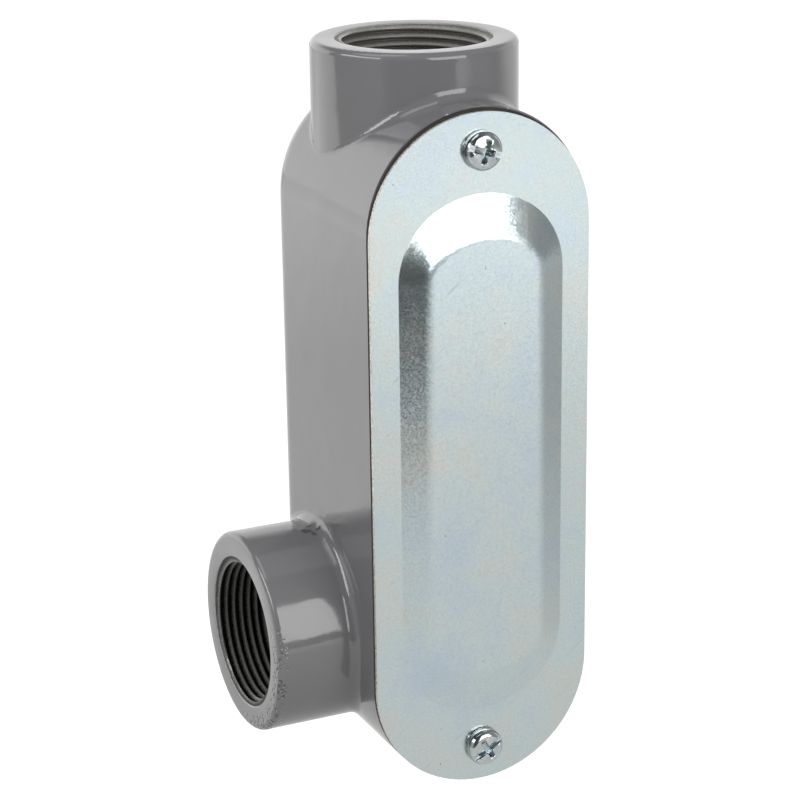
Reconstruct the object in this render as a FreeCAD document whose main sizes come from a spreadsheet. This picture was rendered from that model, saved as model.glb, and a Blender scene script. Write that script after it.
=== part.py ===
# Angle conduit body for 1-1/4 inch rigid conduit, with its gasket, pressed cover and two cover screws.
# Frame: origin at the centre of the run hub's mouth, +Z out of the run hub, cover towards -Y and side
# hub towards -X. Lengths are millimetres and angles degrees.
import math
import os

import FreeCAD
import Part
import Sketcher

OUT = "parts"
CLOSE = 0.01  # two lengths this near are the same when edges are picked

# Driving dimensions: name, value, what it is
DIMENSIONS = [
    ("thread_radius", 20.66, "wall that carries the conduit thread"),
    ("thread_depth", 20.0, "mouth to the shoulder of the bushing"),
    ("mouth_chamfer", 0.5, "lead-in of the thread"),
    ("throat_step", 3.16, "from the thread wall in to the smooth bushing that guards the wires"),
    ("throat_length", 4.6, "bushing of the run hub"),
    ("throat_rounding", 1.6, "both edges of a bushing"),
    ("hub_wall", 6.94, "metal round the thread"),
    ("hub_rim_rounding", 1.8, "outer edge of a hub's mouth"),
    ("hub_root_fillet", 3.0, "where a hub leaves the housing"),
    ("run_hub_length", 12.15, "run hub's mouth above the housing"),
    ("side_shoulder", 3.0, "side hub's bushing outside the housing"),
    ("side_axis_rise", 7.5, "side hub's axis above the centre of the housing's lower end"),
    ("side_margin", 3.7, "housing wider than the run hub at each side"),
    ("back_margin", 1.4, "housing deeper than the hubs at the back"),
    ("housing_end_spacing", 123.35, "between the centres of its round ends"),
    ("front_depth", 37.1, "hub axes to the gasket face"),
    ("back_rounding", 12.0, "edge between back and sides"),
    ("wall", 3.3, "housing wall"),
    ("core_draft", 0.6, "slope of the chamber's sides"),
    ("cover_drop", 0.575, "cover and screws below middle of housing"),
    ("cover_short", 1.25, "cover shorter than the housing"),
    ("screw_inset", 9.75, "cover's end to the screw's axis"),
    ("pillar_radius", 5.4, "pillar round a screw hole"),
    ("pillar_floor", 3.5, "pillar past the drilled depth"),
    ("tap_floor", 3.94, "metal between the drilled depth and the thread wall"),
    ("screw_radius", 2.7, "outside of the screw's thread"),
    ("screw_clearance", 0.05, "screw in its tapped hole"),
    ("screw_spare", 2.5, "drilled depth left past the screw's end"),
    ("screw_tip", 0.6, "chamfer at the screw's end"),
    ("head_radius", 5.1, "pan head"),
    ("head_height", 3.6, "pan head at its middle"),
    ("head_fall", 0.75, "pan head's top, middle to edge"),
    ("head_rounding", 1.9, "pan head's edge"),
    ("slot_width", 1.75, "screwdriver slot"),
    ("slot_depth", 1.3, "screwdriver slot"),
    ("cross_width", 1.5, "cross recess"),
    ("cross_length", 5.9, "cross recess"),
    ("cross_depth", 2.4, "cross recess"),
    ("upper_turn", -17.0, "slot of the upper screw"),
    ("lower_turn", 31.0, "slot of the lower screw"),
    ("gasket_thickness", 1.0, "rubber sheet"),
    ("gasket_inset", 0.45, "gasket inside the housing's edge"),
    ("gasket_lap", 1.5, "gasket over the chamber's edge"),
    ("gasket_hole_radius", 3.2, "punched hole for a screw"),
    ("gasket_bridge", 4.0, "rubber between screw hole and window"),
    ("cover_thickness", 1.0, "steel sheet"),
    ("cover_hole_radius", 3.3, "punched hole for a screw"),
    ("side_flange", 7.8, "flat of the cover beside its raised panel"),
    ("end_flange", 20.95, "flat of the cover past the panel's ends"),
    ("end_arch", 2.5, "radius of the panel's end, more than half its width"),
    ("corner_ease", 2.5, "radius of the panel's corners, less than half its width"),
    ("panel_height", 3.0, "panel above the cover"),
    ("side_slope", 7.5, "width of the panel's slope along its sides"),
    ("end_slope", 11.3, "width of the panel's slope at its ends"),
    ("plateau_end_radius", 25.0, "end of the panel's flat top"),
    ("plateau_corner_radius", 8.0, "corner of the panel's flat top"),
    ("plateau_rounding", 9.0, "edge of the flat top"),
    ("foot_rounding", 0.8, "crease at the panel's foot"),
]

# Sizes that follow from the driving ones
THROAT_RADIUS = "(sizes.thread_radius - sizes.throat_step)"
HUB_RADIUS = "(sizes.thread_radius + sizes.hub_wall)"
HOUSING_HALF_WIDTH = f"({HUB_RADIUS} + sizes.side_margin)"
CHAMBER_HALF_WIDTH = f"({HOUSING_HALF_WIDTH} - sizes.wall)"
BACK_DEPTH = f"({HUB_RADIUS} + sizes.back_margin)"
END_CENTRE_DROP = f"(sizes.run_hub_length + {HOUSING_HALF_WIDTH})"
HOUSING_MIDDLE_DROP = f"({END_CENTRE_DROP} + sizes.housing_end_spacing / 2)"
SIDE_AXIS_DROP = f"({END_CENTRE_DROP} + sizes.housing_end_spacing - sizes.side_axis_rise)"
SIDE_MOUTH_REACH = f"({HOUSING_HALF_WIDTH} + sizes.side_shoulder + sizes.thread_depth)"
SLEEVE_END_DROP = "(sizes.thread_depth + sizes.throat_length)"
COVER_BACK = "(sizes.front_depth + sizes.gasket_thickness)"
COVER_FRONT = f"({COVER_BACK} + sizes.cover_thickness)"
COVER_MIDDLE_DROP = f"({HOUSING_MIDDLE_DROP} + sizes.cover_drop)"
COVER_END_SPACING = "(sizes.housing_end_spacing - sizes.cover_short)"
COVER_REACH = f"({COVER_END_SPACING} / 2 + {HOUSING_HALF_WIDTH})"
PANEL_HALF_WIDTH = f"({HOUSING_HALF_WIDTH} - sizes.side_flange)"
PANEL_REACH = f"({COVER_REACH} - sizes.end_flange)"
SCREW_HEIGHT = f"({COVER_REACH} - sizes.screw_inset)"
TAP_DEPTH = "(sizes.front_depth - sizes.thread_radius - sizes.tap_floor)"
SCREW_LENGTH = f"({TAP_DEPTH} + sizes.gasket_thickness + sizes.cover_thickness - sizes.screw_spare)"

doc = FreeCAD.newDocument("conduit_body")
sheet = doc.addObject("Spreadsheet::Sheet", "sizes")
for row, (alias, size, meaning) in enumerate(DIMENSIONS, start=1):
    sheet.set(f"A{row}", meaning)
    sheet.set(f"B{row}", str(size))
    sheet.setAlias(f"B{row}", alias)
doc.recompute()


def value(expression):
    """What an expression comes to now, as a plain number."""
    return float(sheet.evalExpression(expression))


def point(x, y):
    return FreeCAD.Vector(x, y, 0)


def arc(x, y, radius, start, end):
    """Part of a circle, counterclockwise from one angle to another."""
    circle = Part.Circle(point(x, y), FreeCAD.Vector(0, 0, 1), radius)
    return Part.ArcOfCircle(circle, math.radians(start), math.radians(end))


def new_body(label, x="0", y="0", z="0"):
    """A body whose own origin stands at the place that the expressions give."""
    body = doc.addObject("PartDesign::Body", label)
    for axis, place in (("x", x), ("y", y), ("z", z)):
        body.setExpression(f"Placement.Base.{axis}", place)
    return body


def feature(body, kind, name, sizes=None, **settings):
    """One feature of the body, with its sizes bound to expressions."""
    made = body.newObject(f"PartDesign::{kind}", name)
    for prop, setting in settings.items():
        setattr(made, prop, setting)
    for prop, expression in (sizes or {}).items():
        made.setExpression(prop, expression)
    doc.recompute()
    return made


def origin_plane(body, role):
    return next(item for item in body.Origin.OriginFeatures if item.Role == role)


def sketch_on(body, role, name, **offsets):
    """A sketch on one of the body's own planes, moved along that plane's own x, y and z."""
    sketch = body.newObject("Sketcher::SketchObject", name)
    sketch.AttachmentSupport = [(origin_plane(body, role), "")]
    sketch.MapMode = "FlatFace"
    for axis, expression in offsets.items():
        sketch.setExpression(f"AttachmentOffset.Base.{axis}", expression)
    return sketch


def constrain(sketch, *terms):
    return sketch.addConstraint(Sketcher.Constraint(*terms))


def dimension(sketch, name, expression, *terms):
    """A named dimension of the sketch, bound to an expression."""
    sketch.renameConstraint(constrain(sketch, *terms, value(expression)), name)
    sketch.setExpression(f"Constraints.{name}", expression)


def draw_circle(sketch, radius, height="0", name="hole"):
    """A circle on the sketch's upright axis."""
    middle = point(0, value(height))
    index = sketch.addGeometry(Part.Circle(middle, FreeCAD.Vector(0, 0, 1), value(radius)))
    dimension(sketch, f"{name}_radius", radius, "Radius", index)
    if height == "0":
        constrain(sketch, "Coincident", index, 3, -1, 1)
    else:
        constrain(sketch, "PointOnObject", index, 3, -2)
        dimension(sketch, f"{name}_height", height, "DistanceY", -1, 1, index, 3)


def draw_polygon(sketch, corners):
    """A closed outline of straight lines through corners, each an (x, y) pair of expressions."""
    spots = [point(value(x), value(y)) for x, y in corners]
    for spot, after in zip(spots, spots[1:] + spots[:1]):
        sketch.addGeometry(Part.LineSegment(spot, after))
    for line, (x, y) in enumerate(corners):
        constrain(sketch, "Coincident", line, 2, (line + 1) % len(corners), 1)
        for kind, place, axis in (("DistanceX", x, -2), ("DistanceY", y, -1)):
            if place == "0":
                constrain(sketch, "PointOnObject", line, 1, axis)
            else:
                dimension(sketch, f"{kind}_{line}", place, kind, -1, 1, line, 1)


def round_corner(sketch, line, radius, name):
    """Rounds the corner where a line of a polygon ends; the corner keeps its own dimensions."""
    rounded = sketch.GeometryCount
    sketch.fillet(line, 2, value(radius), True, True)
    dimension(sketch, name, radius, "Radius", rounded)


def draw_stadium(sketch, half_width, end_spacing):
    """Two straight sides and two round ends, about the sketch's origin."""
    side, end = value(half_width), value(end_spacing) / 2
    sketch.addGeometry([
        Part.LineSegment(point(side, -end), point(side, end)),
        arc(0, end, side, 0, 180),
        Part.LineSegment(point(-side, end), point(-side, -end)),
        arc(0, -end, side, 180, 360),
    ])
    for edge in range(4):
        constrain(sketch, "Tangent", edge, 2, (edge + 1) % 4, 1)
    constrain(sketch, "Vertical", 0)
    constrain(sketch, "PointOnObject", 1, 3, -2)
    constrain(sketch, "Symmetric", 1, 3, 3, 3, -1, 1)
    dimension(sketch, "half_width", half_width, "Radius", 1)
    dimension(sketch, "end_spacing", end_spacing, "DistanceY", 3, 3, 1, 3)


def draw_arched_slot(sketch, half_width, reach, end_radius, corner_radius):
    """A long outline with shallow arched ends and round corners, about the sketch's origin."""
    side, end, corner = value(half_width), value(end_radius), value(corner_radius)
    end_centre = value(reach) - end
    corner_x = side - corner
    corner_y = end_centre + math.sqrt((end - corner) ** 2 - corner_x ** 2)
    meet = math.degrees(math.atan2(corner_y - end_centre, corner_x))
    sketch.addGeometry([
        Part.LineSegment(point(side, -corner_y), point(side, corner_y)),
        arc(corner_x, corner_y, corner, 0, meet),
        arc(0, end_centre, end, meet, 180 - meet),
        arc(-corner_x, corner_y, corner, 180 - meet, 180),
        Part.LineSegment(point(-side, corner_y), point(-side, -corner_y)),
        arc(-corner_x, -corner_y, corner, 180, 180 + meet),
        arc(0, -end_centre, end, 180 + meet, 360 - meet),
        arc(corner_x, -corner_y, corner, 360 - meet, 360),
    ])
    for edge in range(8):
        constrain(sketch, "Tangent", edge, 2, (edge + 1) % 8, 1)
    constrain(sketch, "Vertical", 0)
    constrain(sketch, "Vertical", 4)
    constrain(sketch, "PointOnObject", 2, 3, -2)
    constrain(sketch, "Symmetric", 2, 3, 6, 3, -1, 1)
    constrain(sketch, "Equal", 2, 6)
    for other in (3, 5, 7):
        constrain(sketch, "Equal", 1, other)
    dimension(sketch, "corner_radius", corner_radius, "Radius", 1)
    dimension(sketch, "end_radius", end_radius, "Radius", 2)
    dimension(sketch, "end_centre", f"{reach} - {end_radius}", "DistanceY", -1, 1, 2, 3)
    dimension(sketch, "right_side", half_width, "DistanceX", -1, 1, 0, 1)
    dimension(sketch, "left_side", half_width, "DistanceX", 4, 1, -1, 1)


def draw_pillar(sketch, name, centre, root):
    """A screw pillar: round towards the chamber, straight where it runs into the end wall."""
    radius, middle, wall_side = value("sizes.pillar_radius"), value(centre), value(root)
    up = 1 if wall_side > middle else -1
    first = sketch.addGeometry([
        arc(0, middle, radius, 180, 360) if up > 0 else arc(0, middle, radius, 0, 180),
        Part.LineSegment(point(up * radius, middle), point(up * radius, wall_side)),
        Part.LineSegment(point(up * radius, wall_side), point(-up * radius, wall_side)),
        Part.LineSegment(point(-up * radius, wall_side), point(-up * radius, middle)),
    ])[0]
    constrain(sketch, "Tangent", first, 2, first + 1, 1)
    constrain(sketch, "Coincident", first + 1, 2, first + 2, 1)
    constrain(sketch, "Coincident", first + 2, 2, first + 3, 1)
    constrain(sketch, "Tangent", first + 3, 2, first, 1)
    constrain(sketch, "Vertical", first + 1)
    constrain(sketch, "Vertical", first + 3)
    constrain(sketch, "Horizontal", first + 2)
    constrain(sketch, "PointOnObject", first, 3, -2)
    dimension(sketch, f"{name}_radius", "sizes.pillar_radius", "Radius", first)
    dimension(sketch, f"{name}_centre", centre, "DistanceY", -1, 1, first, 3)
    dimension(sketch, f"{name}_root", root, "DistanceY", -1, 1, first + 2, 1)


def edges_where(shape, test):
    """Names of the shape's edges whose ends and middle all pass the test."""
    names = []
    for number, edge in enumerate(shape.Edges, start=1):
        middle = edge.valueAt((edge.FirstParameter + edge.LastParameter) / 2)
        if all(test(spot) for spot in [corner.Point for corner in edge.Vertexes] + [middle]):
            names.append(f"Edge{number}")
    return names


def near(number, target):
    return abs(number - target) < CLOSE


def round_edges(body, name, radius, test):
    """A fillet on every edge of the body that passes the test."""
    base = body.Tip
    names = edges_where(base.Shape, test)
    if not names:
        raise RuntimeError(f"{name}: no edge to round")
    return feature(body, "Fillet", name, {"Radius": radius}, Base=(base, names))


def radius_round_run(spot):
    return math.hypot(spot.x, spot.y)


def radius_round_side(spot):
    return math.hypot(spot.y, spot.z + value(SIDE_AXIS_DROP))


def make_housing(casting):
    """The outside: a long round-ended box, its back edges rounded, and the two hubs."""
    outline = sketch_on(casting, "XZ_Plane", "housing_outline", y=f"-{HOUSING_MIDDLE_DROP}")
    draw_stadium(outline, HOUSING_HALF_WIDTH, "sizes.housing_end_spacing")
    depths = {"Length": "sizes.front_depth", "Length2": BACK_DEPTH}
    feature(casting, "Pad", "housing", depths, Profile=outline, SideType="Two sides")
    back = value(BACK_DEPTH)
    round_edges(casting, "housing_back", "sizes.back_rounding", lambda spot: near(spot.y, back))

    run_outline = sketch_on(casting, "XY_Plane", "run_hub_outline")
    draw_circle(run_outline, HUB_RADIUS)
    feature(casting, "Pad", "run_hub", {"Length": END_CENTRE_DROP}, Profile=run_outline, Reversed=True)
    side_outline = sketch_on(casting, "YZ_Plane", "side_hub_outline", z=f"-{SIDE_MOUTH_REACH}")
    draw_circle(side_outline, HUB_RADIUS, f"-{SIDE_AXIS_DROP}")
    length = f"{SIDE_MOUTH_REACH} - {HOUSING_HALF_WIDTH} / 2"
    feature(casting, "Pad", "side_hub", {"Length": length}, Profile=side_outline)

    outside, side_mouth = value(HUB_RADIUS), -value(SIDE_MOUTH_REACH)
    round_edges(casting, "run_hub_root", "sizes.hub_root_fillet",
                lambda spot: near(radius_round_run(spot), outside) and not near(spot.z, 0))
    round_edges(casting, "side_hub_root", "sizes.hub_root_fillet",
                lambda spot: near(radius_round_side(spot), outside) and not near(spot.x, side_mouth))
    round_edges(casting, "hub_rims", "sizes.hub_rim_rounding",
                lambda spot: near(spot.z, 0) or near(spot.x, side_mouth))


def make_chamber(casting):
    """The inside: the wiring chamber, the run hub's sleeve and the pillars that take the screws."""
    mouth = sketch_on(casting, "XZ_Plane", "chamber_mouth",
                      y=f"-{HOUSING_MIDDLE_DROP}", z="sizes.front_depth")
    draw_stadium(mouth, CHAMBER_HALF_WIDTH, "sizes.housing_end_spacing")
    depth = f"sizes.front_depth + {BACK_DEPTH} - sizes.wall"
    feature(casting, "Pocket", "chamber", {"Length": depth, "TaperAngle": "-sizes.core_draft"}, Profile=mouth)
    floor = value(f"{BACK_DEPTH} - sizes.wall")
    round_edges(casting, "chamber_floor", "sizes.back_rounding - sizes.wall",
                lambda spot: near(spot.y, floor))

    end = sketch_on(casting, "XY_Plane", "sleeve_outline", z=f"-{SLEEVE_END_DROP}")
    draw_circle(end, HUB_RADIUS)
    feature(casting, "Pad", "sleeve", {"Length": f"{SLEEVE_END_DROP} / 2"}, Profile=end)

    pillars = sketch_on(casting, "XZ_Plane", "pillar_outlines",
                        y=f"-{COVER_MIDDLE_DROP}", z="sizes.front_depth")
    wall_reach = f"(sizes.housing_end_spacing / 2 + {HOUSING_HALF_WIDTH} - sizes.wall / 2)"
    draw_pillar(pillars, "upper", SCREW_HEIGHT, f"sizes.cover_drop + {wall_reach}")
    draw_pillar(pillars, "lower", f"-{SCREW_HEIGHT}", f"sizes.cover_drop - {wall_reach}")
    depth = {"Length": f"{TAP_DEPTH} + sizes.pillar_floor"}
    feature(casting, "Pad", "pillars", depth, Profile=pillars, Reversed=True)


def make_run_bore(casting):
    """The upper hub's thread wall with its lead-in, and the bushing whose edges are both round."""
    above, shoulder = "sizes.mouth_chamfer", "-sizes.thread_depth"
    beyond = f"-{SLEEVE_END_DROP} - sizes.throat_rounding"
    profile = sketch_on(casting, "XZ_Plane", "run_bore_profile")
    draw_polygon(profile, [
        ("0", above),
        ("sizes.thread_radius + 2 * sizes.mouth_chamfer", above),
        ("sizes.thread_radius", "-sizes.mouth_chamfer"),
        ("sizes.thread_radius", shoulder),
        (THROAT_RADIUS, shoulder),
        (THROAT_RADIUS, beyond),
        ("0", beyond),
    ])
    feature(casting, "Groove", "run_bore", Profile=profile, ReferenceAxis=(profile, ["V_Axis"]), Angle=360)
    throat, ends = value(THROAT_RADIUS), (value(shoulder), -value(SLEEVE_END_DROP))
    round_edges(casting, "run_throat", "sizes.throat_rounding",
                lambda spot: near(radius_round_run(spot), throat) and any(near(spot.z, z) for z in ends))


def make_side_bore(casting):
    """The same in the side hub, where the bushing is the housing's own wall."""
    outside = f"-{SIDE_MOUTH_REACH} - sizes.mouth_chamfer"
    shoulder = f"sizes.thread_depth - {SIDE_MOUTH_REACH}"
    inside = f"-{CHAMBER_HALF_WIDTH} + 2 * sizes.wall"
    profile = sketch_on(casting, "XZ_Plane", "side_bore_profile", y=f"-{SIDE_AXIS_DROP}")
    draw_polygon(profile, [
        (outside, "0"),
        (outside, "sizes.thread_radius + 2 * sizes.mouth_chamfer"),
        (f"sizes.mouth_chamfer - {SIDE_MOUTH_REACH}", "sizes.thread_radius"),
        (shoulder, "sizes.thread_radius"),
        (shoulder, THROAT_RADIUS),
        (inside, THROAT_RADIUS),
        (inside, "0"),
    ])
    feature(casting, "Groove", "side_bore", Profile=profile, ReferenceAxis=(profile, ["H_Axis"]), Angle=360)
    throat, start = value(THROAT_RADIUS), value(shoulder)
    mid_wall = value(f"sizes.wall / 2 - {HOUSING_HALF_WIDTH}")
    round_edges(casting, "side_throat", "sizes.throat_rounding",
                lambda spot: near(radius_round_side(spot), throat)
                and (near(spot.x, start) or spot.x > mid_wall))


def make_screw_holes(casting):
    centres = sketch_on(casting, "XZ_Plane", "screw_hole_centres",
                        y=f"-{COVER_MIDDLE_DROP}", z="sizes.front_depth")
    draw_circle(centres, "sizes.screw_radius", SCREW_HEIGHT, "upper")
    draw_circle(centres, "sizes.screw_radius", f"-{SCREW_HEIGHT}", "lower")
    doc.recompute()
    drilled = {"Diameter": "2 * (sizes.screw_radius + sizes.screw_clearance)", "Depth": TAP_DEPTH}
    feature(casting, "Hole", "screw_holes", drilled, Profile=centres, DepthType="Dimension",
            DrillPoint="Angled")


def make_casting():
    casting = new_body("body_casting")
    make_housing(casting)
    make_chamber(casting)
    make_run_bore(casting)
    make_side_bore(casting)
    make_screw_holes(casting)
    return casting


def make_gasket():
    """A die-cut ring of rubber sheet, wider at the ends where the screws go through."""
    gasket = new_body("cover_gasket", y="-sizes.front_depth", z=f"-{HOUSING_MIDDLE_DROP}")
    outline = sketch_on(gasket, "XZ_Plane", "gasket_outline")
    draw_stadium(outline, f"{HOUSING_HALF_WIDTH} - sizes.gasket_inset", "sizes.housing_end_spacing")
    feature(gasket, "Pad", "rubber", {"Length": "sizes.gasket_thickness"}, Profile=outline)

    half_width = f"({CHAMBER_HALF_WIDTH} - sizes.gasket_lap)"
    end_land = f"(sizes.gasket_hole_radius + sizes.gasket_bridge + {half_width})"
    front = {"y": "-sizes.cover_drop", "z": "sizes.gasket_thickness"}
    window = sketch_on(gasket, "XZ_Plane", "window_outline", **front)
    draw_stadium(window, half_width, f"2 * ({SCREW_HEIGHT} - {end_land})")
    feature(gasket, "Pocket", "window", Profile=window, Type="ThroughAll")

    holes = sketch_on(gasket, "XZ_Plane", "punched_holes", **front)
    draw_circle(holes, "sizes.gasket_hole_radius", SCREW_HEIGHT, "upper")
    draw_circle(holes, "sizes.gasket_hole_radius", f"-{SCREW_HEIGHT}", "lower")
    feature(gasket, "Pocket", "screw_holes", Profile=holes, Type="ThroughAll")
    return gasket


def panel_outlines(cover, side, level):
    """Foot and flat top of the raised panel, for the sheet's front or its back."""
    foot = sketch_on(cover, "XZ_Plane", f"{side}_foot", z=level)
    draw_arched_slot(foot, PANEL_HALF_WIDTH, PANEL_REACH,
                     f"({PANEL_HALF_WIDTH} + sizes.end_arch)",
                     f"({PANEL_HALF_WIDTH} - sizes.corner_ease)")
    plateau = sketch_on(cover, "XZ_Plane", f"{side}_plateau", z=f"{level} + sizes.panel_height")
    draw_arched_slot(plateau, f"({PANEL_HALF_WIDTH} - sizes.side_slope)",
                     f"({PANEL_REACH} - sizes.end_slope)",
                     "sizes.plateau_end_radius", "sizes.plateau_corner_radius")
    return {"Profile": foot, "Sections": [plateau], "Ruled": True}


def make_cover():
    """Steel sheet with a pressed panel: the same step on the front and, one thickness deeper, the back."""
    cover = new_body("cover_plate", y=f"-{COVER_BACK}", z=f"-{COVER_MIDDLE_DROP}")
    outline = sketch_on(cover, "XZ_Plane", "cover_outline")
    draw_stadium(outline, HOUSING_HALF_WIDTH, COVER_END_SPACING)
    feature(cover, "Pad", "sheet_steel", {"Length": "sizes.cover_thickness"}, Profile=outline)
    feature(cover, "AdditiveLoft", "panel", **panel_outlines(cover, "front", "sizes.cover_thickness"))
    feature(cover, "SubtractiveLoft", "panel_hollow", **panel_outlines(cover, "back", "0"))

    thickness, height = value("sizes.cover_thickness"), value("sizes.panel_height")
    reach, half_width = value(PANEL_REACH), value(PANEL_HALF_WIDTH)

    def panel_edge(level):
        """Passes spots at one level, no farther out than the panel's foot."""
        return lambda spot: (near(spot.y, -level) and abs(spot.x) < half_width + CLOSE
                             and abs(spot.z) < reach + CLOSE)

    round_edges(cover, "plateau_edge", "sizes.plateau_rounding", panel_edge(thickness + height))
    round_edges(cover, "foot_crease", "sizes.foot_rounding", panel_edge(thickness))
    round_edges(cover, "hollow_edge", "sizes.plateau_rounding - sizes.cover_thickness", panel_edge(height))
    round_edges(cover, "hollow_mouth", "sizes.foot_rounding + sizes.cover_thickness", panel_edge(0))

    centre = sketch_on(cover, "XZ_Plane", "punched_hole", z="sizes.cover_thickness")
    draw_circle(centre, "sizes.cover_hole_radius", SCREW_HEIGHT)
    hole = feature(cover, "Pocket", "upper_hole", Profile=centre, Type="ThroughAll")
    across = (origin_plane(cover, "XY_Plane"), [""])
    cover.Tip = feature(cover, "Mirrored", "lower_hole", Originals=[hole], MirrorPlane=across)
    return cover


def cut_bar(screw, name, width, length, depth):
    """A straight cut into the top of the screw's head."""
    outline = sketch_on(screw, "XZ_Plane", f"{name}_outline", z="sizes.head_height")
    draw_polygon(outline, [
        (f"-{length} / 2", f"-{width} / 2"),
        (f"{length} / 2", f"-{width} / 2"),
        (f"{length} / 2", f"{width} / 2"),
        (f"-{length} / 2", f"{width} / 2"),
    ])
    feature(screw, "Pocket", name, {"Length": depth}, Profile=outline)


def make_screw(label, height, turn):
    """A pan-head machine screw whose head takes a flat or a cross driver."""
    screw = new_body(label, y=f"-{COVER_FRONT}", z=f"{height} - {COVER_MIDDLE_DROP}")
    screw.Placement.Rotation = FreeCAD.Rotation(FreeCAD.Vector(0, -1, 0), 1)
    screw.setExpression("Placement.Rotation.Angle", turn)
    profile = sketch_on(screw, "XY_Plane", "screw_profile")
    draw_polygon(profile, [
        ("0", "-sizes.head_height"),
        ("sizes.head_radius", "sizes.head_fall - sizes.head_height"),
        ("sizes.head_radius", "0"),
        ("sizes.screw_radius", "0"),
        ("sizes.screw_radius", f"{SCREW_LENGTH} - sizes.screw_tip"),
        ("sizes.screw_radius - sizes.screw_tip", SCREW_LENGTH),
        ("0", SCREW_LENGTH),
    ])
    round_corner(profile, 0, "sizes.head_rounding", "head_edge")
    feature(screw, "Revolution", "turned", Profile=profile, ReferenceAxis=(profile, ["V_Axis"]), Angle=360)
    cut_bar(screw, "slot", "sizes.slot_width", "2 * sizes.head_radius", "sizes.slot_depth")
    cut_bar(screw, "cross_along", "sizes.cross_width", "sizes.cross_length", "sizes.cross_depth")
    cut_bar(screw, "cross_over", "sizes.cross_length", "sizes.cross_width", "sizes.cross_depth")
    return screw


def check(bodies):
    """Stops before anything is written if the document or a solid is bad."""
    failed = [item.Name for item in doc.Objects if {"Invalid", "Error"} & set(item.State)]
    loose = [item.Name for item in doc.Objects
             if item.isDerivedFrom("Sketcher::SketchObject") and not item.FullyConstrained]
    bad = [body.Label for body in bodies
           if body.Shape.isNull() or not body.Shape.isValid() or len(body.Shape.Solids) != 1]
    if failed or loose or bad:
        raise RuntimeError(f"failed features {failed}, loose sketches {loose}, bad solids {bad}")


def main():
    bodies = [
        make_casting(),
        make_gasket(),
        make_cover(),
        make_screw("upper_cover_screw", SCREW_HEIGHT, "sizes.upper_turn"),
        make_screw("lower_cover_screw", f"-{SCREW_HEIGHT}", "sizes.lower_turn"),
    ]
    doc.recompute()
    check(bodies)
    os.makedirs(OUT, exist_ok=True)
    for body in bodies:
        body.Shape.exportStep(f"{OUT}/{body.Label}.step")
        box = body.Shape.BoundBox
        print(f"{body.Label}: {body.Shape.Volume / 1000:.2f} cm3, x {box.XMin:.2f} to {box.XMax:.2f}, "
              f"y {box.YMin:.2f} to {box.YMax:.2f}, z {box.ZMin:.2f} to {box.ZMax:.2f}")


main()
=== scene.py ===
# Conduit body in grey enamel with a zinc-plated cover, on a pale floor in soft studio light.
# Lengths are metres, or millimetres where a name says so or a comment does.
import math

import bpy
from mathutils import Matrix, Vector


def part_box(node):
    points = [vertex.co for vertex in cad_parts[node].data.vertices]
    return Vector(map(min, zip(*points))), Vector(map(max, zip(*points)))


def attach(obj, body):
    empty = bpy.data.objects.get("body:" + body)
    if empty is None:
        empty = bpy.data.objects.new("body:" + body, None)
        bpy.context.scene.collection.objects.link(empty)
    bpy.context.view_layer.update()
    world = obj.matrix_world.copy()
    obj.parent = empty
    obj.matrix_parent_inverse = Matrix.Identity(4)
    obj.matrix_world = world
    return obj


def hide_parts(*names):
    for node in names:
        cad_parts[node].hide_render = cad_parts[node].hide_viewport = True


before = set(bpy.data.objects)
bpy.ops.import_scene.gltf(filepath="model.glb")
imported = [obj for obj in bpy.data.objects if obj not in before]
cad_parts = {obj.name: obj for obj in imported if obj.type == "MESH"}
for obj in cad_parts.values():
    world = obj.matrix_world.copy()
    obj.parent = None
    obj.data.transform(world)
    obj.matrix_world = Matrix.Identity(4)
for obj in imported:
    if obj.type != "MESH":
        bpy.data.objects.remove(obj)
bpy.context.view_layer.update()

# Body casting: one piece of die-cast aluminium, tumbled and then sprayed with grey enamel that was baked on.
# Its CAD solid has the right form, so a copy of it is merged and smoothed, and stands in for it.
ENAMEL_GREY = "#6c6c6d"
ENAMEL_DEEP = "#656568"
SPECK_BROWN = "#34312f"
# Painted shade: the colour that darkens the pits.
PIT_SHADE_GREY = "#4c4b4b"
ENAMEL_IOR = 1.65
NOISE_SPAN = {1: 0.3, 2: 0.7}  # what the values of a noise mostly span
ENAMEL_ROUGHNESS = {3: 0.06, 4: 0.15}  # least and most, as for each roughness below
CASTING_SHARP = 35  # degrees, past which an edge stays sharp
CLOUD_MM = 38.0  # width of the uneven tone where the spray lay thinner
PEEL_MM = 1.4  # width of one ripple of the enamel's orange peel
SWELL = 8.0  # a broad swell is this many times wider and higher than a ripple
PEEL_HEIGHT = 0.00002
SPECK_CELL_MM = 7.0  # one dust speck or none in each cell of this width
SPECK_EDGE = {1: 0.018, 2: 0.032, 3: 1.0, 4: 0.0}  # a speck's core and rim, as shares of a cell
SPECK_FREE_CELLS = 0.55  # share of the cells without one
SIDE_MOUTH_MM = -54.3
SIDE_AXIS_MM = (0, 0, -159.3)  # where the side hub's axis meets the run hub's
ACROSS_SIDE_HUB = (0, 1, 1)  # leaves out the direction along the hub
WORN_OUTSIDE = {1: 23.0, 2: 24.6}  # millimetres from the hub's axis, from no wear to full wear
WORN_REACH = (  # full wear and no wear in millimetres, for x, y and z
    {1: SIDE_MOUTH_MM + 0.8, 2: SIDE_MOUTH_MM + 3.0, 3: 1.0, 4: 0.0},
    {1: -12.0, 2: 3.0, 3: 1.0, 4: 0.0},
    {1: SIDE_AXIS_MM[2] - 2, 2: SIDE_AXIS_MM[2] + 12, 3: 1.0, 4: 0.0},
)
PIT_CELL_MM = 1.3  # pits in the worn lower lip of the side hub
PIT_EDGE = {1: 0.16, 2: 0.5, 3: 1.0, 4: 0.0}
PIT_SHADE_SHARE = 0.8  # share of the pit colour in a pit
PIT_DEPTH = 0.0008
FLASH_PLACE_MM = (-34.0, -3.0, -132.0)  # where the mould halves met beside the side hub
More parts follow.
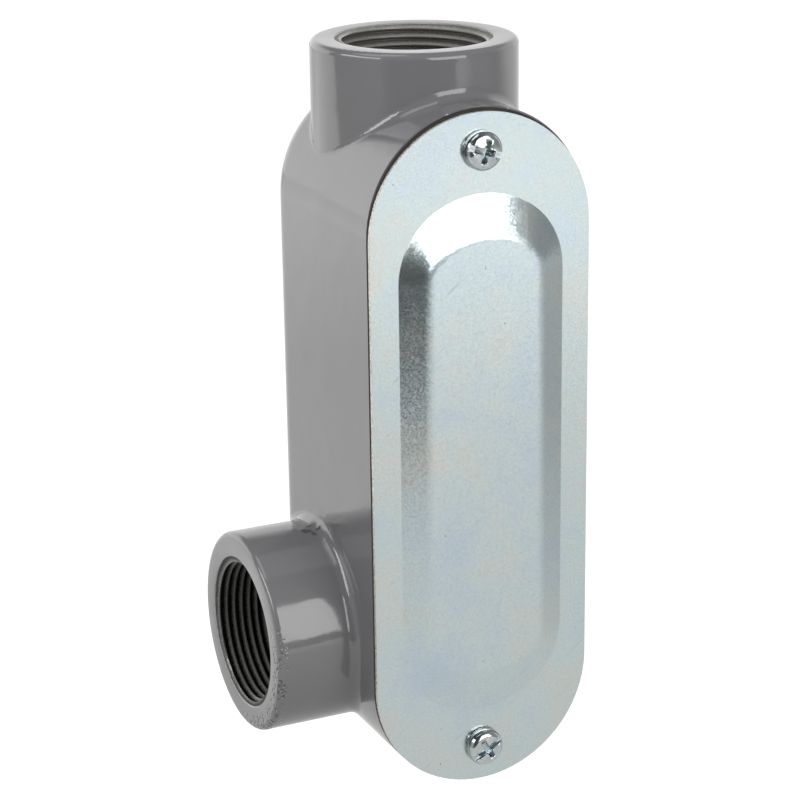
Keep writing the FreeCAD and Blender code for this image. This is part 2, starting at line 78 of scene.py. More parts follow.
FLASH_REACH = {1: 2.0, 2: 7.0, 3: 1.0, 4: 0.0}  # millimetres from there
LUMP_MM = 3.2  # lumps of trimmed flash
LUMP_SHARE = 0.6  # height of a lump as a share of a pit's depth
NICK_EDGE = {1: 0.5, 2: 0.56, 4: 0.6}  # the highest lumps show dark, torn metal


def linear(code):
    """The shader colour of an sRGB hex value."""
    levels = [int(code[place:place + 2], 16) / 255 for place in (1, 3, 5)]
    return tuple(s / 12.92 if s <= 0.04045 else ((s + 0.055) / 1.055) ** 2.4 for s in levels) + (1.0,)


def add(tree, kind, sockets, **settings):
    """One shader node: settings are its options, sockets take a number, a colour or another node's output.

    Sockets 1 to 4 of a MapRange are the two ends of what it takes, then the two ends of what it gives.
    Those of a Mix are 0 for the factor, then 2 and 3 for numbers, or 6 and 7 for colours.
    """
    node = tree.nodes.new(f"ShaderNode{kind}")
    for name, setting in settings.items():
        setattr(node, name, setting)
    for socket, source in sockets.items():
        if isinstance(source, bpy.types.NodeSocket):
            tree.links.new(source, node.inputs[socket])
        else:
            node.inputs[socket].default_value = source
    return node


def new_material(name):
    """An empty material, its node tree, and object coordinates in millimetres."""
    material = bpy.data.materials.new(name)
    material.use_nodes = True
    tree = material.node_tree
    tree.nodes.clear()
    place = add(tree, "TexCoord", {}).outputs["Object"]
    millimetres = add(tree, "Mapping", {"Vector": place, "Scale": (1000, 1000, 1000)}).outputs["Vector"]
    return material, tree, millimetres


def specks(tree, mm, cell_mm, edge, free_cells):
    """How much a point is speck, where each cell has one speck, but for a share of cells left free."""
    cells = add(tree, "TexVoronoi", {"Vector": mm, "Scale": 1 / cell_mm})
    speck = add(tree, "MapRange", {0: cells.outputs["Distance"], **edge})
    chance = add(tree, "SeparateColor", {0: cells.outputs["Color"]})
    some = add(tree, "Math", {0: chance.outputs[0], 1: free_cells}, operation="GREATER_THAN")
    return add(tree, "Math", {0: speck.outputs[0], 1: some.outputs[0]}, operation="MULTIPLY").outputs[0]


def from_axis(tree, mm, across, centre):
    """The distance from an axis through the centre, where across leaves out the direction along the axis."""
    flat = add(tree, "VectorMath", {0: mm, 1: across}, operation="MULTIPLY")
    return add(tree, "VectorMath", {0: flat.outputs[0], 1: centre}, operation="DISTANCE").outputs["Value"]


def smooth_copy(node, name, sharp):
    """A merged copy of a CAD node's mesh, smooth over edges flatter than the angle in degrees."""
    bpy.ops.object.select_all(action="DESELECT")
    piece = bpy.data.objects.new(name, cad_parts[node].data.copy())
    bpy.context.scene.collection.objects.link(piece)
    piece.select_set(True)
    bpy.context.view_layer.objects.active = piece
    bpy.ops.object.mode_set(mode="EDIT")
    bpy.ops.mesh.select_all(action="SELECT")
    bpy.ops.mesh.remove_doubles(threshold=1e-6)
    bpy.ops.object.mode_set(mode="OBJECT")
    bpy.ops.object.shade_smooth_by_angle(angle=math.radians(sharp))
    weighted = piece.modifiers.new("even_shading", "WEIGHTED_NORMAL")
    weighted.keep_sharp = True
    bpy.ops.object.modifier_apply(modifier=weighted.name)
    piece.data.materials.clear()
    return piece


def stands_in(piece, node, slot, *materials):
    """The piece takes a CAD node's place on the body."""
    for material in materials:
        piece.data.materials.append(material)
    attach(piece, "root")
    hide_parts(node)


# Baked enamel is glossy, with a slight ripple that bends reflections, faint clouds and a few dust specks.
# The lower lip of the side hub is pitted, its pits darkened with painted shade, and flash was trimmed off
# where the mould halves met beside it.
enamel, tree, mm = new_material("baked_grey_enamel")
cloud = add(tree, "TexNoise", {"Vector": mm, "Scale": 1 / CLOUD_MM, "Detail": 3.0, "Roughness": 0.55})
tone = add(tree, "Mix", {0: cloud.outputs["Fac"], 6: linear(ENAMEL_DEEP), 7: linear(ENAMEL_GREY)},
           data_type="RGBA")
dust = specks(tree, mm, SPECK_CELL_MM, SPECK_EDGE, SPECK_FREE_CELLS)
dusty = add(tree, "Mix", {0: dust, 6: tone.outputs[2], 7: linear(SPECK_BROWN)}, data_type="RGBA")

worn = add(tree, "MapRange", {0: from_axis(tree, mm, ACROSS_SIDE_HUB, SIDE_AXIS_MM), **WORN_OUTSIDE})
spot = add(tree, "SeparateXYZ", {0: mm})
for direction, reach in enumerate(WORN_REACH):
    near = add(tree, "MapRange", {0: spot.outputs[direction], **reach})
    worn = add(tree, "Math", {0: worn.outputs[0], 1: near.outputs[0]}, operation="MULTIPLY")
cells = add(tree, "TexVoronoi", {"Vector": mm, "Scale": 1 / PIT_CELL_MM})
pit = add(tree, "MapRange", {0: cells.outputs["Distance"], **PIT_EDGE})
worn_pit = add(tree, "Math", {0: worn.outputs[0], 1: pit.outputs[0]}, operation="MULTIPLY")
# Painted shade: each pit is darkened towards the pit colour.
pit_shade = add(tree, "Math", {0: worn_pit.outputs[0], 1: PIT_SHADE_SHARE}, operation="MULTIPLY")
pitted = add(tree, "Mix", {0: pit_shade.outputs[0], 6: dusty.outputs[2], 7: linear(PIT_SHADE_GREY)},
             data_type="RGBA")

away = add(tree, "VectorMath", {0: mm, 1: FLASH_PLACE_MM}, operation="DISTANCE")
flash = add(tree, "MapRange", {0: away.outputs["Value"], **FLASH_REACH})
lumps = add(tree, "TexNoise", {"Vector": mm, "Scale": 1 / LUMP_MM, "Detail": 1.0})
lump = add(tree, "Math", {0: flash.outputs[0], 1: lumps.outputs["Fac"]}, operation="MULTIPLY")
nick = add(tree, "MapRange", {0: lump.outputs[0], **NICK_EDGE})
nicked = add(tree, "Mix", {0: nick.outputs[0], 6: pitted.outputs[2], 7: linear(SPECK_BROWN)},
             data_type="RGBA")
bulge = add(tree, "Math", {0: lump.outputs[0], 1: LUMP_SHARE}, operation="MULTIPLY")
damage = add(tree, "Math", {0: bulge.outputs[0], 1: worn_pit.outputs[0]}, operation="SUBTRACT")

peel = add(tree, "TexNoise", {"Vector": mm, "Scale": 1 / PEEL_MM, "Detail": 2.0})
swell = add(tree, "TexNoise", {"Vector": mm, "Scale": 1 / (SWELL * PEEL_MM), "Detail": 1.0})
relief = add(tree, "Math", {0: swell.outputs["Fac"], 1: SWELL, 2: peel.outputs["Fac"]},
             operation="MULTIPLY_ADD")
skin = add(tree, "Bump", {"Height": relief.outputs[0], "Distance": PEEL_HEIGHT, "Strength": 0.7})
bump = add(tree, "Bump", {"Height": damage.outputs[0], "Distance": PIT_DEPTH, "Strength": 0.9,
                          "Normal": skin.outputs[0]})
sheen = add(tree, "MapRange", {0: swell.outputs["Fac"], **NOISE_SPAN, **ENAMEL_ROUGHNESS})
coat = add(tree, "BsdfPrincipled", {
    "Base Color": nicked.outputs[2], "Roughness": sheen.outputs[0], "IOR": ENAMEL_IOR,
    "Normal": bump.outputs[0]})
add(tree, "OutputMaterial", {"Surface": coat.outputs[0]})

casting = smooth_copy("body_casting", "enamelled_housing", CASTING_SHARP)

# Conduit threads: taper pipe thread tapped in both hubs after painting, with a bare chamfer at each mouth. A
# sharp ridge is wound round one bore, widened to the taper, trimmed at the mouth, run out and then copied.
# Its flanks are dull with cutting oil and its crests shine; in the side hub both are darker, as painted shade
# in its bore.
PITCH = 0.0254 / 11.5  # 11.5 threads to the inch
TURNS = 9
STEPS_PER_TURN = 120
WALL_RADIUS = 0.02066  # the bore at the thread's root
FOOT_BURIED = 0.0001  # the ridge's foot lies this far inside the wall
THREAD_HEIGHT = 0.8 * PITCH
FOOT_HALF = 0.49 * PITCH
CREST_HALF = 0.06 * PITCH
THREAD_DEPTH = 0.0192
TAPER = 1 / 32  # on the radius
MOUTH_SLOPE = 2.4  # the ridge rises to its height this steeply from the mouth
RUNOUT_SLOPE = 0.7  # and fades this steeply at the inner end
MOUTH_CUT = 0.0003  # the ridge is cut flat this far inside the mouth
THREAD_SHARP = 30  # degrees
TAPPED_RADIUS = 0.0211
TAPPED_DEPTH = 0.02  # the tapped wall lies within this reach
CHAMFER_RADIUS = 0.0232
CHAMFER_DEPTH = 0.003  # the bare chamfer lies within this reach of the mouth
CHAMFER_LEAN = (0.2, 0.95)  # the part of its faces' normals that looks straight out of the hub
SIDE_MOUTH = Vector((SIDE_MOUTH_MM / 1000, 0, SIDE_AXIS_MM[2] / 1000))
OILY_ROOT = "#706c68"
BARE_CREST = "#aeaeab"
# Painted shade: darker root and crest colours for the side hub's bore.
SIDE_HUB_SHADED_ROOT = "#171513"
SIDE_HUB_SHADED_CREST = "#7c7c79"
CHAMFER_BRIGHT = "#a9a9a7"
SIDE_HUB_SHADE_REACH = {1: -36.0, 2: -30.0, 3: 1.0, 4: 0.0}  # millimetres along x, in the hub and past it
ACROSS_RUN_HUB = (1, 1, 0)
TEAR_MM = 0.6  # grain torn by the tap
WANDER_MM = 1.8  # how far the edge of the oil stain wanders
CREST_MM = 19.2
ROOT_MM = 20.2
STAIN_EDGE = {1: CREST_MM + WANDER_MM / 2, 2: ROOT_MM + WANDER_MM / 2, 3: 1.0, 4: 0.0}
TAPPED_ROUGHNESS = {3: 0.5, 4: 0.3}
TEAR_HEIGHT = 0.00005
TURNING_MM = 1.2  # streaks of enamel and bare metal on the chamfers

bpy.ops.object.select_all(action="DESELECT")
bpy.ops.mesh.primitive_plane_add(size=1, location=(0, 0, 0))
run_thread = bpy.context.object
run_thread.name = "run_hub_thread"
for vertex in run_thread.data.vertices:
    if vertex.co.x < 0:
        vertex.co = (WALL_RADIUS + FOOT_BURIED, 0, math.copysign(FOOT_HALF, vertex.co.y))
    else:
        vertex.co = (WALL_RADIUS - THREAD_HEIGHT, 0, math.copysign(CREST_HALF, vertex.co.y))
bpy.ops.object.mode_set(mode="EDIT")
bpy.ops.mesh.select_all(action="SELECT")
bpy.ops.mesh.delete(type="ONLY_FACE")
bpy.ops.object.mode_set(mode="OBJECT")
winding = run_thread.modifiers.new("winding", "SCREW")
winding.axis = "Z"
winding.angle = 2 * math.pi
winding.screw_offset = PITCH
winding.iterations = TURNS
winding.steps = STEPS_PER_TURN
winding.render_steps = STEPS_PER_TURN
winding.use_merge_vertices = True
bpy.ops.object.modifier_apply(modifier=winding.name)
for vertex in run_thread.data.vertices:
    inside = THREAD_DEPTH - vertex.co.z
    radius = math.hypot(vertex.co.x, vertex.co.y)
    if radius < WALL_RADIUS:
        tapered = radius + TAPER * (THREAD_DEPTH / 2 - inside)
        mouth_trim = WALL_RADIUS - MOUTH_SLOPE * max(inside, 0)
        runout = WALL_RADIUS - RUNOUT_SLOPE * max(THREAD_DEPTH - inside, 0)
        wanted = max(tapered, mouth_trim, runout)
        vertex.co.x *= wanted / radius
        vertex.co.y *= wanted / radius
    vertex.co.z = -inside
bpy.ops.object.mode_set(mode="EDIT")
bpy.ops.mesh.select_all(action="SELECT")
bpy.ops.mesh.fill_holes(sides=4)
bpy.ops.mesh.select_all(action="SELECT")
bpy.ops.mesh.bisect(plane_co=(0, 0, -MOUTH_CUT), plane_no=(0, 0, 1), use_fill=True, clear_outer=True)
bpy.ops.mesh.select_all(action="SELECT")
bpy.ops.mesh.normals_make_consistent(inside=False)
bpy.ops.object.mode_set(mode="OBJECT")
bpy.ops.object.shade_smooth_by_angle(angle=math.radians(THREAD_SHARP))

# Tapped aluminium: an uneven film of old oil in the roots, and metal wiped bright on the crests, both
# darkened in the side hub as painted shade.
tapped, tree, mm = new_material("tapped_aluminium")
hub_radius = add(tree, "Math", {
    0: from_axis(tree, mm, ACROSS_RUN_HUB, (0, 0, 0)), 1: from_axis(tree, mm, ACROSS_SIDE_HUB, SIDE_AXIS_MM)},
    operation="MINIMUM")
grain = add(tree, "TexNoise", {"Vector": mm, "Scale": 1 / TEAR_MM, "Detail": 3.0})
uneven = add(tree, "Math", {0: grain.outputs["Fac"], 1: WANDER_MM, 2: hub_radius.outputs[0]},
             operation="MULTIPLY_ADD")
crest = add(tree, "MapRange", {0: uneven.outputs[0], **STAIN_EDGE})
spot = add(tree, "SeparateXYZ", {0: mm})
# Painted shade: the side hub's threads take the darker copies of both colours.
side_hub_shade = add(tree, "MapRange", {0: spot.outputs[0], **SIDE_HUB_SHADE_REACH})
root = add(tree, "Mix", {0: side_hub_shade.outputs[0], 6: linear(OILY_ROOT), 7: linear(SIDE_HUB_SHADED_ROOT)},
           data_type="RGBA")
top = add(tree, "Mix", {0: side_hub_shade.outputs[0], 6: linear(BARE_CREST), 7: linear(SIDE_HUB_SHADED_CREST)},
          data_type="RGBA")
oiled_and_shaded = add(tree, "Mix", {0: crest.outputs[0], 6: root.outputs[2], 7: top.outputs[2]}, data_type="RGBA")
wiped = add(tree, "MapRange", {0: crest.outputs[0], **TAPPED_ROUGHNESS})
tears = add(tree, "Bump", {"Height": grain.outputs["Fac"], "Distance": TEAR_HEIGHT, "Strength": 0.6})
metal = add(tree, "BsdfPrincipled", {
    "Base Color": oiled_and_shaded.outputs[2], "Metallic": 0.5, "Roughness": wiped.outputs[0],
    "Normal": tears.outputs[0]})
add(tree, "OutputMaterial", {"Surface": metal.outputs[0]})
run_thread.data.materials.append(tapped)

# Cut chamfers: bare metal with rags of enamel, a little paler than the paint beside them.
cut, tree, mm = new_material("cut_aluminium_chamfer")
turned = add(tree, "TexNoise", {"Vector": mm, "Scale": 1 / TURNING_MM, "Detail": 4.0})
ragged = add(tree, "Mix", {0: turned.outputs["Fac"], 6: linear(ENAMEL_GREY), 7: linear(CHAMFER_BRIGHT)},
             data_type="RGBA")
bare = add(tree, "BsdfPrincipled", {"Base Color": ragged.outputs[2], "Roughness": 0.3, "IOR": ENAMEL_IOR})
add(tree, "OutputMaterial", {"Surface": bare.outputs[0]})

stands_in(casting, "body_casting", "enamelled_casting", enamel, tapped, cut)
for face in casting.data.polygons:
    middle, facing = face.center, face.normal
    for radius, inside, lean in (
            (math.hypot(middle.x, middle.y), -middle.z, facing.z),
            (math.hypot(middle.y, middle.z - SIDE_MOUTH.z), middle.x - SIDE_MOUTH.x, -facing.x)):
        if radius < CHAMFER_RADIUS and inside < CHAMFER_DEPTH and CHAMFER_LEAN[0] < lean < CHAMFER_LEAN[1]:
            face.material_index = 2
        elif radius < TAPPED_RADIUS and inside < TAPPED_DEPTH:
            face.material_index = 1

side_thread = bpy.data.objects.new("side_hub_thread", run_thread.data.copy())
bpy.context.scene.collection.objects.link(side_thread)
side_thread.data.transform(Matrix.Translation(SIDE_MOUTH) @ Matrix.Rotation(-math.pi / 2, 4, "Y"))
for thread in (run_thread, side_thread):
    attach(thread, "root")

# Cover gasket: a ring of black-brown rubber sheet, die cut, of which only the matt, dusty edge shows.
# The CAD solid is already the right plain ring and only takes its finish.
RUBBER_BLACK = "#211f1c"
RUBBER_DUSTY = "#302d2a"
DUST_MM = 1.5
DUST_HEIGHT = 0.00005

rubber, tree, mm = new_material("gasket_sheet_rubber")
dusting = add(tree, "TexNoise", {"Vector": mm, "Scale": 1 / DUST_MM, "Detail": 5.0})
shade = add(tree, "Mix", {0: dusting.outputs["Fac"], 6: linear(RUBBER_BLACK), 7: linear(RUBBER_DUSTY)},
            data_type="RGBA")
texture = add(tree, "Bump", {"Height": dusting.outputs["Fac"], "Distance": DUST_HEIGHT, "Strength": 0.5})
matt = add(tree, "BsdfPrincipled", {
    "Base Color": shade.outputs[2], "Roughness": 0.75, "IOR": 1.5, "Normal": texture.outputs[0]})
add(tree, "OutputMaterial", {"Surface": matt.outputs[0]})
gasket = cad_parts["cover_gasket"]
gasket.data.materials.clear()
gasket.data.materials.append(rubber)

# Cover: sheet steel blanked and pressed in one stroke, then zinc plated with a clear blue passivation.
# A smoothed copy of the CAD solid takes a faintly tinted satin on its faces, and a torn, speckled finish on
# the edges where it was sheared.
ZINC_BLUE = "#c2cfd9"
ZINC_GREEN = "#c8d4d5"
ZINC_WARM = "#d0d2ce"
SCUFF_GREY = "#9aa3a8"
STAIN_GREY = "#5f6367"
TINT_MM = 22.0  # patches of faintly yellow and blue passivation
WARM_EDGE = {1: 0.5, 2: 0.68}
COOL_EDGE = {1: 0.34, 2: 0.5, 3: 1.0, 4: 0.0}
ZINC_ROUGHNESS = {3: 0.19, 4: 0.24}
SCRATCH_MM = 0.5  # width of a hairline, drawn coarse so that it shows
SCRATCH_SLANT = (0, 0.9, 0)  # turned about y, in radians
SCRATCH_STRETCH = (1, 1, 24)
HAIRLINE_EDGE = {1: 0.68, 2: 0.76, 4: 0.35}
GRAIN_MM = 0.55  # grain of the rolled sheet under the plating, drawn a little coarse
GRAIN_EDGE = {1: 0.45, 2: 0.8, 4: 0.35}
GRAIN_HEIGHT = 0.00003
CRYSTAL_MM = 0.42  # zinc crystals, drawn coarse so that their glitter shows
CRYSTAL_LEAN = 0.035  # how far a crystal leans from the sheet
STAIN_CELL_MM = 6.0  # one dark speck or none in each cell of this width
STAIN_RIM = {1: 0.02, 2: 0.045, 3: 0.8, 4: 0.0}
STAIN_FREE_CELLS = 0.42  # share of the cells without one
SHEARED_BRIGHT = "#e6e1d8"
SHEARED_DARK = "#8a857d"
TORN_MM = 0.4  # speckles of the sheared edge
TORN_EDGE = {1: 0.4, 2: 0.56}
TORN_HEIGHT = 0.0002
COVER_SHARP = 25  # degrees
SHEET = 0.001  # thickness of the steel
SHEARED_LEAN = 0.05  # a sheared face looks less than this to the front or the back
CLOSE = 1e-5

# Zinc plate: a satin metal, tinted in patches, with hairlines, a fine grain, glittering crystals and stains.
zinc, tree, mm = new_material("zinc_plated_steel_sheet")
tint = add(tree, "TexNoise", {"Vector": mm, "Scale": 1 / TINT_MM, "Detail": 4.0, "Roughness": 0.65})
warm = add(tree, "MapRange", {0: tint.outputs["Fac"], **WARM_EDGE})
cool = add(tree, "MapRange", {0: tint.outputs["Fac"], **COOL_EDGE})
cooled = add(tree, "Mix", {0: cool.outputs[0], 6: linear(ZINC_GREEN), 7: linear(ZINC_BLUE)}, data_type="RGBA")
base = add(tree, "Mix", {0: warm.outputs[0], 6: cooled.outputs[2], 7: linear(ZINC_WARM)}, data_type="RGBA")

slanted = add(tree, "Mapping", {"Vector": mm, "Rotation": SCRATCH_SLANT, "Scale": SCRATCH_STRETCH},
              vector_type="TEXTURE")
hairs = add(tree, "TexNoise", {"Vector": slanted.outputs[0], "Scale": 1 / SCRATCH_MM, "Detail": 2.0,
                               "Distortion": 0.8})
hairline = add(tree, "MapRange", {0: hairs.outputs["Fac"], **HAIRLINE_EDGE})
grit = add(tree, "TexNoise", {"Vector": mm, "Scale": 1 / GRAIN_MM, "Detail": 3.0, "Roughness": 0.7})
stipple = add(tree, "MapRange", {0: grit.outputs["Fac"], **GRAIN_EDGE})
scuff = add(tree, "Math", {0: hairline.outputs[0], 1: stipple.outputs[0]}, operation="MAXIMUM")
scuffed = add(tree, "Mix", {0: scuff.outputs[0], 6: base.outputs[2], 7: linear(SCUFF_GREY)}, data_type="RGBA")
stain = specks(tree, mm, STAIN_CELL_MM, STAIN_RIM, STAIN_FREE_CELLS)
stained = add(tree, "Mix", {0: stain, 6: scuffed.outputs[2], 7: linear(STAIN_GREY)}, data_type="RGBA")

fine = add(tree, "Bump", {"Height": grit.outputs["Fac"], "Distance": GRAIN_HEIGHT, "Strength": 0.42})
crystals = add(tree, "TexVoronoi", {"Vector": mm, "Scale": 1 / CRYSTAL_MM})
either_way = add(tree, "VectorMath", {0: crystals.outputs["Color"], 1: (0.5, 0.5, 0.5)}, operation="SUBTRACT")
slight = add(tree, "VectorMath", {0: either_way.outputs[0], "Scale": CRYSTAL_LEAN}, operation="SCALE")
leaning = add(tree, "VectorMath", {0: fine.outputs[0], 1: slight.outputs[0]}, operation="ADD")
normal = add(tree, "VectorMath", {0: leaning.outputs[0]}, operation="NORMALIZE")
satin = add(tree, "MapRange", {0: tint.outputs["Fac"], **NOISE_SPAN, **ZINC_ROUGHNESS})
plated = add(tree, "BsdfPrincipled", {
    "Base Color": stained.outputs[2], "Metallic": 1.0, "Roughness": satin.outputs[0],
    "Normal": normal.outputs[0]})
add(tree, "OutputMaterial", {"Surface": plated.outputs[0]})

# Sheared edge: half bright zinc and half dull steel, where the punch tore through the sheet.
sheared, tree, mm = new_material("sheared_zinc_edge")
torn = add(tree, "TexNoise", {"Vector": mm, "Scale": 1 / TORN_MM, "Detail": 4.0})
broken = add(tree, "MapRange", {0: torn.outputs["Fac"], **TORN_EDGE})
speckled = add(tree, "Mix", {0: broken.outputs[0], 6: linear(SHEARED_DARK), 7: linear(SHEARED_BRIGHT)},
               data_type="RGBA")
burr = add(tree, "Bump", {"Height": torn.outputs["Fac"], "Distance": TORN_HEIGHT, "Strength": 0.8})
edge = add(tree, "BsdfPrincipled", {
    "Base Color": speckled.outputs[2], "Metallic": 0.5, "Roughness": 0.5, "Normal": burr.outputs[0]})
add(tree, "OutputMaterial", {"Surface": edge.outputs[0]})

cover = smooth_copy("cover_plate", "pressed_cover", COVER_SHARP)
stands_in(cover, "cover_plate", "zinc_plated_sheet", zinc, sheared)
front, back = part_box("cover_gasket")[0].y - SHEET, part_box("cover_plate")[1].y
for face in cover.data.polygons:
    if abs(face.normal.y) < SHEARED_LEAN and front - CLOSE < face.center.y < back + CLOSE:
        face.material_index = 1

# Cover screws: pan-head machine screws of steel, cold headed and bright zinc plated, with a slot and a cross
# recess. Copies of the CAD solids, smoothed, take a brighter and smoother plating than the cover's, and
# painted shade in the recess.
SCREW_ZINC = "#d6dbdb"
SCREW_SHADE = "#a3abad"
# Painted shade: the colour of the screws' recess.
RECESS_SHADE_BLUE = "#7f97a3"
SCREW_ROUGHNESS = {3: 0.09, 4: 0.2}
PATCH_MM = 1.2  # patches of brighter plating
PATCH_HEIGHT = 0.00005
RECESS_PATCH_MM = 0.8  # patches of the painted shade in a recess
SCREW_SHARP = 25  # degrees
RECESS_REACH = 0.0036
RECESS_DEPTHS = (0.0004, 0.0026)  # below the top of the head

# Bright zinc: nearly a mirror, broken up by the small dents of heading and tumbling.
bright, tree, mm = new_material("bright_zinc_plating")
patches = add(tree, "TexNoise", {"Vector": mm, "Scale": 1 / PATCH_MM, "Detail": 4.0})
blend = add(tree, "Mix", {0: patches.outputs["Fac"], 6: linear(SCREW_SHADE), 7: linear(SCREW_ZINC)},
            data_type="RGBA")
polish = add(tree, "MapRange", {0: patches.outputs["Fac"], **NOISE_SPAN, **SCREW_ROUGHNESS})
dents = add(tree, "Bump", {"Height": patches.outputs["Fac"], "Distance": PATCH_HEIGHT, "Strength": 0.5})
shell = add(tree, "BsdfPrincipled", {
    "Base Color": blend.outputs[2], "Metallic": 1.0, "Roughness": polish.outputs[0],
    "Normal": dents.outputs[0]})
add(tree, "OutputMaterial", {"Surface": shell.outputs[0]})

# Painted shade in the recess: a bluer, darker colour and a duller finish stand in for the shade and dark
# reflections there.
recess_shade, tree, mm = new_material("painted_recess_shade")
recess_patches = add(tree, "TexNoise", {"Vector": mm, "Scale": 1 / RECESS_PATCH_MM, "Detail": 3.0})
recess_tone = add(tree, "Mix", {0: recess_patches.outputs["Fac"], 6: linear(RECESS_SHADE_BLUE), 7: linear(SCREW_ZINC)},
            data_type="RGBA")
well = add(tree, "BsdfPrincipled", {"Base Color": recess_tone.outputs[2], "Metallic": 1.0, "Roughness": 0.22})
add(tree, "OutputMaterial", {"Surface": well.outputs[0]})

for end in ("upper", "lower"):
    screw = smooth_copy(f"{end}_cover_screw", f"{end}_pan_head_screw", SCREW_SHARP)
    stands_in(screw, f"{end}_cover_screw", "zinc_plated_screw", bright, recess_shade)
    low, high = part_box(f"{end}_cover_screw")
    head_top = Vector(((low.x + high.x) / 2, low.y, (low.z + high.z) / 2))
    for face in screw.data.polygons:
        off = face.center - head_top
        if math.hypot(off.x, off.z) < RECESS_REACH and RECESS_DEPTHS[0] < off.y < RECESS_DEPTHS[1]:
            face.material_index = 1

# Studio: a pale tabletop below the part, which the cover's flat faces mirror, a white backdrop behind it and
# a dark room in front. A large softbox at the front right shows in the enamel and in the panel's upper slope,
# a broad, low one at the left draws thin glints on rims and fillets, and a weak one hangs above.
FLOOR_HEIGHT = -0.262
FLOOR_FRONT = {-1: 0.9, 1: -2.4}  # the front edge slants, and comes forward at the right
FLOOR_BACK = 2.6
FLOOR_HALF_WIDTH = 1.35
FLOOR_PALE = "#939391"
CAMERA_LIFT = 0.85  # brings the lit tabletop to white for the camera

# In mirrored light alone the tabletop glows, a painted light that lifts it to the tones that the part shows:
# more at a metre, where the softbox lights it less; less at the right, as painted shade of the room; and more
# behind the part but little just behind it, as a painted shadow under the part, by distances in millimetres.
BELOW_PART_MM = (0, 0, 1000 * FLOOR_HEIGHT)
REACH_LIFT = {1: 600.0, 2: 1000.0, 3: 0.47, 4: 0.98}
TO_THE_RIGHT = (1, 0.5, 0)
RIGHT_SHADE = {1: 100.0, 2: 420.0, 3: 1.0, 4: 0.36}
BACK_LIFT = {1: 60.0, 2: 260.0, 4: 0.45}

# What is mirrored of the room, by the x of a direction, or its y or z for two of the backdrop's edges.
WHITE_BACKDROP = {1: -1.0, 2: 0.5, 3: 2.3, 4: 1.1}  # brighter at the left
DARK_ROOM = {1: -0.2, 2: 0.7, 3: 0.07, 4: 0.34}  # less dark at the right
LEFT_WALL = {1: -0.76, 2: -0.9, 4: 0.4}  # added where a paler wall shows at the far left
ROOM_AMBIENT = {1: -1.0, 2: 1.0, 3: 0.8, 4: 0.5}  # on matt surfaces, as lit through a window at the left
BACKDROP_LEFT = math.radians(139)  # the direction of its left end, from +x
BACKDROP_LEFT_EDGE = {1: -0.03, 2: 0.03}
BACKDROP_RIGHT_EDGE = {1: -0.25, 2: 0.05}
BACKDROP_TOP_EDGE = {1: 0.35, 2: 0.55, 3: 1.0, 4: 0.0}

AIM = Vector((0, -0.01, -0.1))
SOFTBOXES = {  # place, width, height, watts
    "front_softbox": ((0.25, -1.07, 0.31), 0.85, 0.83, 7.9),
    "left_strip": ((-1.08, -0.02, 0.46), 1.0, 0.32, 4.6),
    "top_softbox": ((-0.35, 0.1, 0.9), 0.6, 0.6, 1.7),
}

bpy.ops.object.select_all(action="DESELECT")
bpy.ops.mesh.primitive_plane_add(size=2, location=(0, 0, 0))
floor = bpy.context.object
floor.name = "tabletop"
for vertex in floor.data.vertices:
    side = round(vertex.co.x)
    end = FLOOR_FRONT[side] if vertex.co.y < 0 else FLOOR_BACK
    vertex.co = (side * FLOOR_HALF_WIDTH, end, FLOOR_HEIGHT)

pale, tree, mm = new_material("pale_tabletop")
board = add(tree, "BsdfDiffuse", {"Color": linear(FLOOR_PALE)})
path = add(tree, "LightPath", {})
reach = add(tree, "VectorMath", {0: mm, 1: BELOW_PART_MM}, operation="DISTANCE")
open_floor = add(tree, "MapRange", {0: reach.outputs["Value"], **REACH_LIFT})
across = add(tree, "VectorMath", {0: mm, 1: TO_THE_RIGHT}, operation="DOT_PRODUCT")
darker = add(tree, "MapRange", {0: across.outputs["Value"], **RIGHT_SHADE})
shaded = add(tree, "Math", {0: open_floor.outputs[0], 1: darker.outputs[0]}, operation="MULTIPLY")
spot = add(tree, "SeparateXYZ", {0: mm})
behind = add(tree, "MapRange", {0: spot.outputs[1], **BACK_LIFT})
brighter = add(tree, "Math", {0: shaded.outputs[0], 1: behind.outputs[0]}, operation="ADD")
# Painted light and shadow: this glow shows only in reflections.
painted_mirror_glow = add(tree, "Math", {0: brighter.outputs[0], 1: path.outputs["Is Glossy Ray"]},
                  operation="MULTIPLY")
lift = add(tree, "Math", {0: path.outputs["Is Camera Ray"], 1: CAMERA_LIFT, 2: painted_mirror_glow.outputs[0]},
           operation="MULTIPLY_ADD")
glow = add(tree, "Emission", {"Strength": lift.outputs[0]})
both = add(tree, "AddShader", {0: board.outputs[0], 1: glow.outputs[0]})
add(tree, "OutputMaterial", {"Surface": both.outputs[0]})
floor.data.materials.append(pale)

world = bpy.data.worlds.new("studio")
bpy.context.scene.world = world
world.use_nodes = True
tree = world.node_tree
tree.nodes.clear()
direction = add(tree, "TexCoord", {}).outputs["Generated"]
way = add(tree, "SeparateXYZ", {0: direction})
past_left = add(tree, "VectorMath", {
    0: direction, 1: (math.sin(BACKDROP_LEFT), -math.cos(BACKDROP_LEFT), 0)}, operation="DOT_PRODUCT")
left_edge = add(tree, "MapRange", {0: past_left.outputs["Value"], **BACKDROP_LEFT_EDGE})
right_edge = add(tree, "MapRange", {0: way.outputs[1], **BACKDROP_RIGHT_EDGE})
top_edge = add(tree, "MapRange", {0: way.outputs[2], **BACKDROP_TOP_EDGE})
wide = add(tree, "Math", {0: left_edge.outputs[0], 1: right_edge.outputs[0]}, operation="MULTIPLY")
white = add(tree, "Math", {0: wide.outputs[0], 1: top_edge.outputs[0]}, operation="MULTIPLY")
backdrop, dark, wall, ambient = (
    add(tree, "MapRange", {0: way.outputs[0], **levels})
    for levels in (WHITE_BACKDROP, DARK_ROOM, LEFT_WALL, ROOM_AMBIENT))
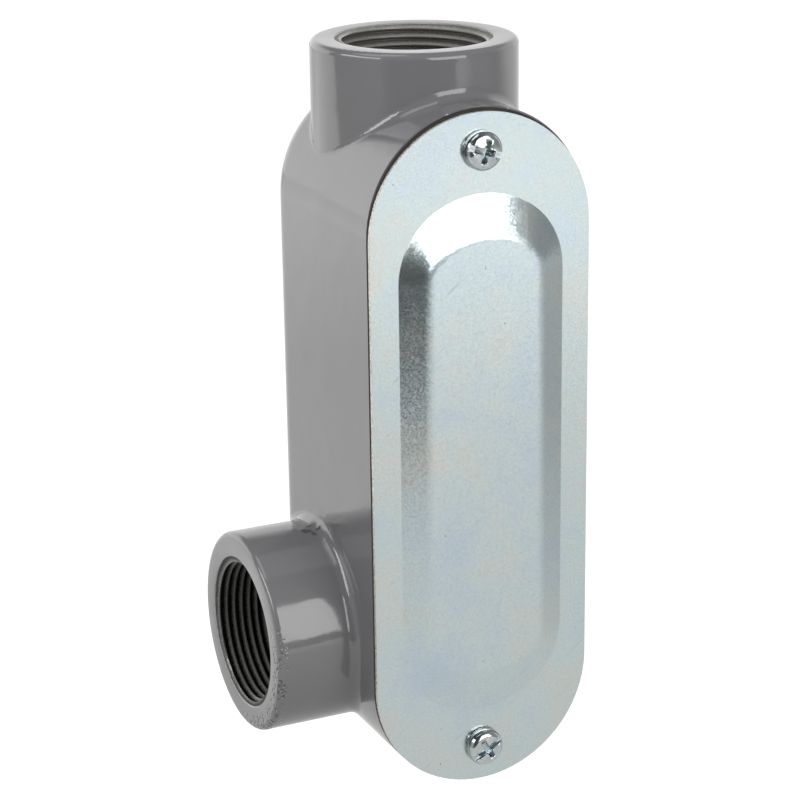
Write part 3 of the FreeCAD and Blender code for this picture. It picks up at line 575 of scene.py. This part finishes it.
room = add(tree, "Math", {0: dark.outputs[0], 1: wall.outputs[0]}, operation="ADD")
mirrored = add(tree, "Mix", {0: white.outputs[0], 2: room.outputs[0], 3: backdrop.outputs[0]})
path = add(tree, "LightPath", {})
shiny = add(tree, "Math", {0: path.outputs["Is Glossy Ray"], 1: path.outputs["Is Transmission Ray"]},
            operation="MAXIMUM")
indirect = add(tree, "Mix", {0: shiny.outputs[0], 2: ambient.outputs[0], 3: mirrored.outputs[0]})
seen = add(tree, "Mix", {0: path.outputs["Is Camera Ray"], 2: indirect.outputs[0], 3: 1.0})
sky = add(tree, "Background", {"Color": (1, 1, 1, 1), "Strength": seen.outputs[0]})
add(tree, "OutputWorld", {"Surface": sky.outputs[0]})

for name, (place, width, height, watts) in SOFTBOXES.items():
    data = bpy.data.lights.new(name, "AREA")
    data.shape = "RECTANGLE"
    data.size = width
    data.size_y = height
    data.energy = watts
    lamp = bpy.data.objects.new(name, data)
    lamp.location = place
    lamp.rotation_euler = (AIM - Vector(place)).to_track_quat("-Z", "Y").to_euler()
    bpy.context.scene.collection.objects.link(lamp)

# Camera: where the photograph was taken from, a long lens a little above the part and to its left.
CAMERA_PLACE = (-0.27256, -0.58024, 0.10865)
CAMERA_AZIMUTH = math.radians(-24.715)
CAMERA_ELEVATION = math.radians(18.08)
CAMERA_ROLL = math.radians(-0.805)
CAMERA_LENS_MM = 110.14
SENSOR_MM = 36
CLIP_START = 0.01

camera_data = bpy.data.cameras.new("camera")
camera_data.sensor_width = SENSOR_MM
camera_data.lens = CAMERA_LENS_MM
camera_data.clip_start = CLIP_START
camera = bpy.data.objects.new("camera", camera_data)
camera.matrix_world = (Matrix.Translation(CAMERA_PLACE) @ Matrix.Rotation(CAMERA_AZIMUTH, 4, "Z")
                       @ Matrix.Rotation(math.pi / 2 - CAMERA_ELEVATION, 4, "X")
                       @ Matrix.Rotation(CAMERA_ROLL, 4, "Z"))
bpy.context.scene.collection.objects.link(camera)
bpy.context.scene.camera = camera
bpy.context.scene.view_settings.view_transform = "Standard"
